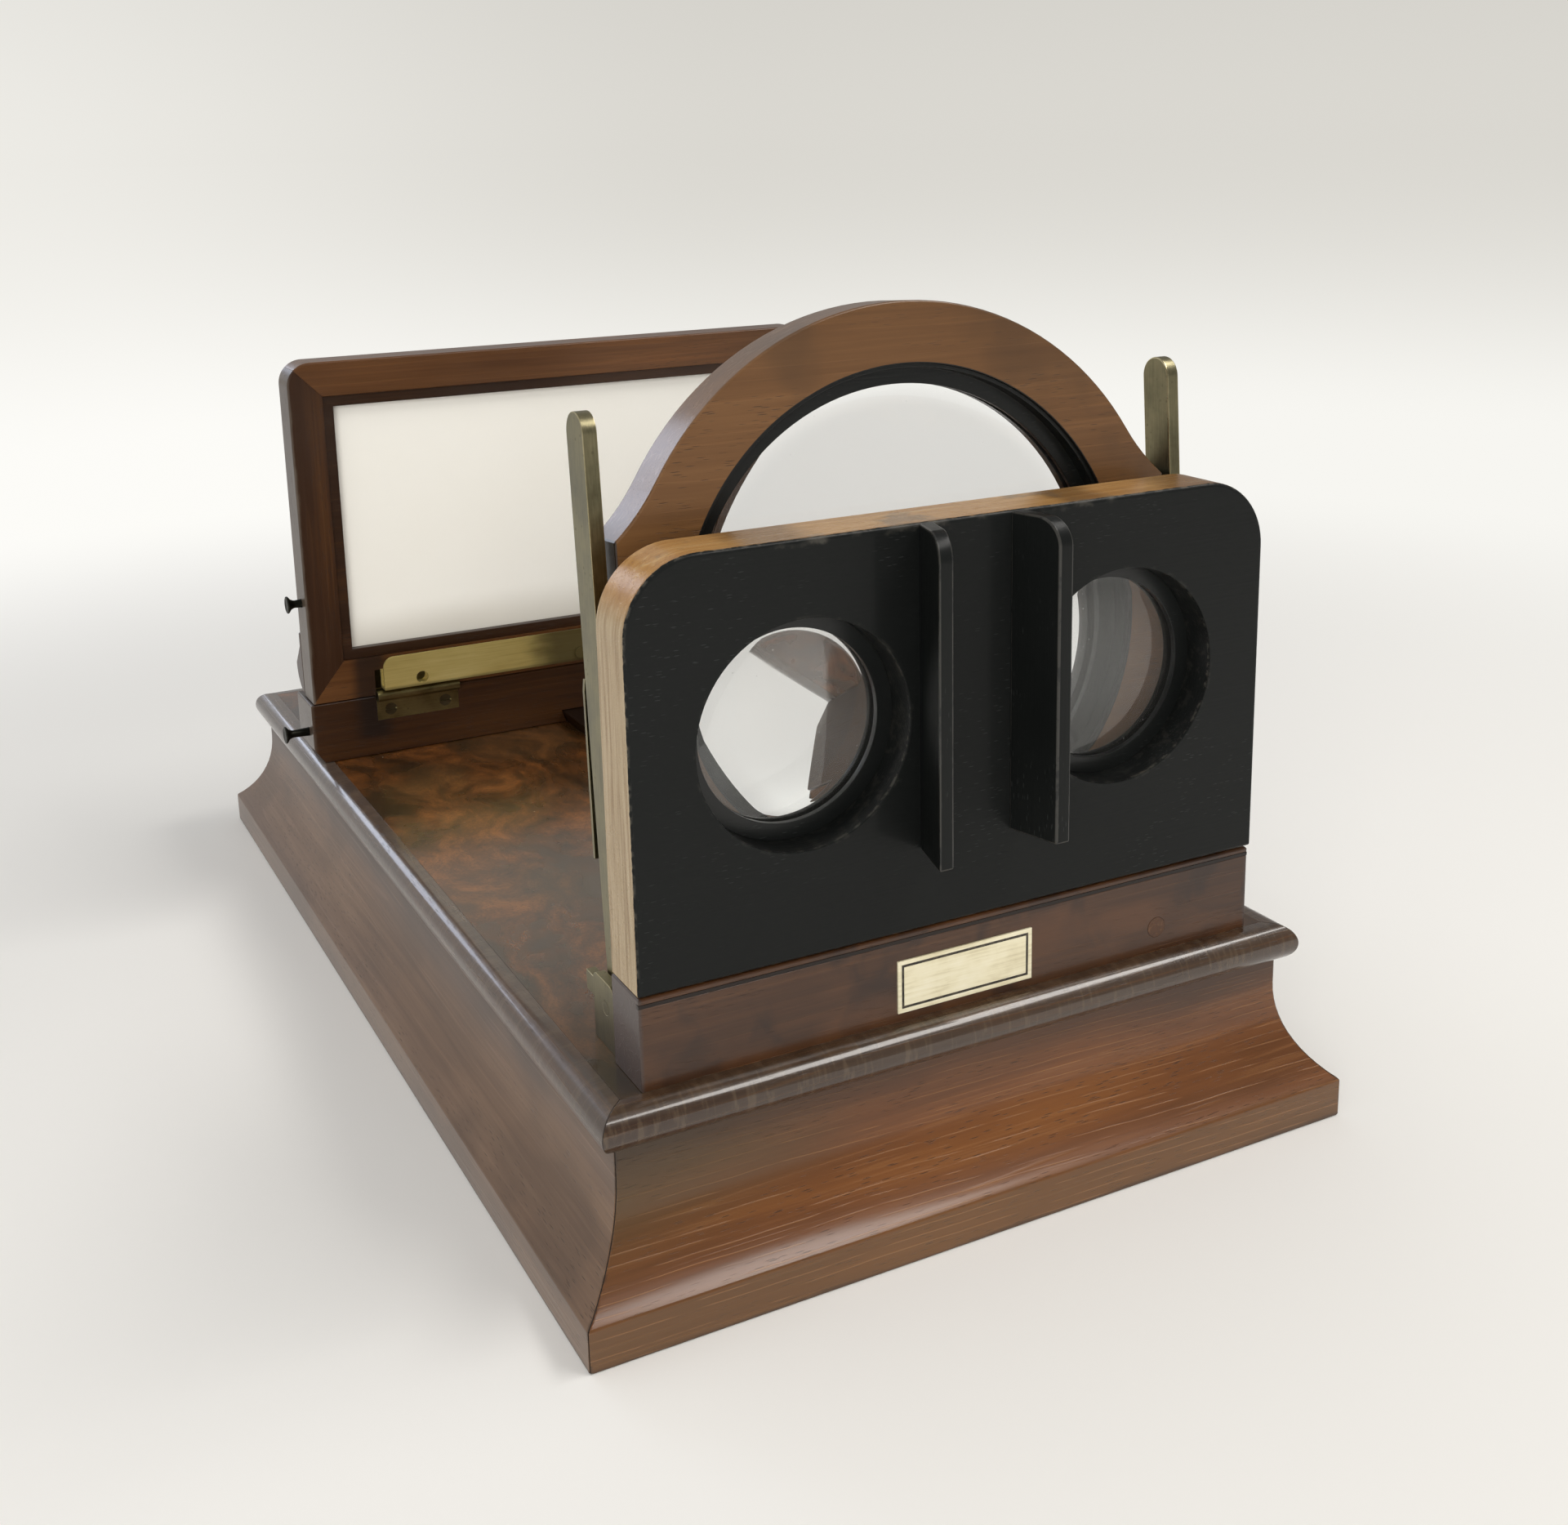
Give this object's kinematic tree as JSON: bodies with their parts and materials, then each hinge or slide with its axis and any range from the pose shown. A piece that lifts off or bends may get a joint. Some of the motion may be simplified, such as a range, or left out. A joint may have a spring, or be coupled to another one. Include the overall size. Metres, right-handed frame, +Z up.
{
  "type": "graphoscope",
  "caption": "Folding table viewer: a large magnifier and a stereo eyepiece board on a moulded walnut base, with a sliding, folding picture screen.",
  "frame": {"origin": "centre of the rectangle that the base stands on, at the underside of the plinth", "axes": "+Z up, +Y from the viewer's eyes towards the screen (the base's long way), +X to the viewer's right"},
  "size_m": [0.195, 0.343, 0.2001],
  "materials": {
    "walnut": "french polish, worn",
    "dark_bead": "ebonised, glossy",
    "burr_walnut": "burr veneer, polished",
    "pine": "bare",
    "bone": "smooth, satin",
    "black_board": "matt black paint",
    "clear_glass": "polished",
    "opal_glass": "satin white",
    "aged_brass": "aged lacquer",
    "bright_brass": "lacquered sheet",
    "steel": "dull"
  },
  "bodies": {
    "base": {"plinth_front": "walnut", "plinth_back": "walnut", "plinth_left": "walnut", "plinth_right": "walnut", "bead_front": "dark_bead", "bead_back": "dark_bead", "bead_left": "dark_bead", "bead_right": "dark_bead", "base_panel": "pine", "burr_veneer": "burr_walnut", "bottom_board": "pine", "glue_blocks": "pine", "front_rail": "walnut", "rail_stringing": "dark_bead", "blank_plaque": "bone", "rail_plug": "pine", "focus_runner": "dark_bead", "runner_screws": "steel", "hinge_bracket_left": "aged_brass", "hinge_bracket_right": "aged_brass", "bracket_screws": "steel", "pivot_rod": "aged_brass"},
    "stereo_board": {"stereo_board": "black_board", "stereo_lens_left": "clear_glass", "stereo_lens_right": "clear_glass", "stereo_ring_left": "black_board", "stereo_ring_right": "black_board", "nose_rib_left": "black_board", "nose_rib_right": "black_board", "board_dowels": "pine"},
    "stand": {"stand_bar_left": "aged_brass", "stand_bar_right": "aged_brass"},
    "magnifier": {"magnifier_frame": "walnut", "magnifier_ring": "black_board", "magnifier_lens": "clear_glass", "slide_guide_left": "aged_brass", "slide_guide_right": "aged_brass", "guide_screws": "steel"},
    "carriage": {"carriage_rail": "walnut", "carriage_catch_pin": "aged_brass", "lower_hinge_leaf_left": "aged_brass", "lower_hinge_leaf_right": "aged_brass", "hinge_pins": "steel", "lower_hinge_screws": "steel"},
    "screen": {"screen_rail_top": "walnut", "screen_rail_bottom": "walnut", "screen_stile_left": "walnut", "screen_stile_right": "walnut", "screen_bead": "dark_bead", "opal_panel": "opal_glass", "glazing_beads": "pine", "upper_hinge_leaf_left": "aged_brass", "upper_hinge_leaf_right": "aged_brass", "upper_hinge_screws": "steel", "card_ledge": "bright_brass", "ledge_screws": "steel", "ledge_rivet": "bright_brass", "heel_cleats": "walnut", "screen_catch_pin": "aged_brass"}
  },
  "joints": [
    {"name": "carriage_slide", "type": "slide", "parent": "base", "child": "carriage", "axis": [0, 1, 0], "range_m": [-0.02, 0.065]},
    {"name": "screen_fold", "type": "hinge", "parent": "carriage", "child": "screen", "pos_m": [0, 0.07415, 0.06765], "axis": [1, 0, 0], "range_deg": [0, 90]},
    {"name": "stand_fold", "type": "hinge", "parent": "base", "child": "stand", "pos_m": [0, -0.1362, 0.0575], "axis": [-1, 0, 0], "range_deg": [-4.3, 85.7]},
    {"name": "magnifier_slide", "type": "slide", "parent": "stand", "child": "magnifier", "axis": [0, 0.075, 0.9972], "range_m": [0, 0.045]},
    {"name": "stereo_board_lift", "type": "slide", "parent": "base", "child": "stereo_board", "axis": [0, 0, 1], "range_m": [0, 0.011]}
  ]
}
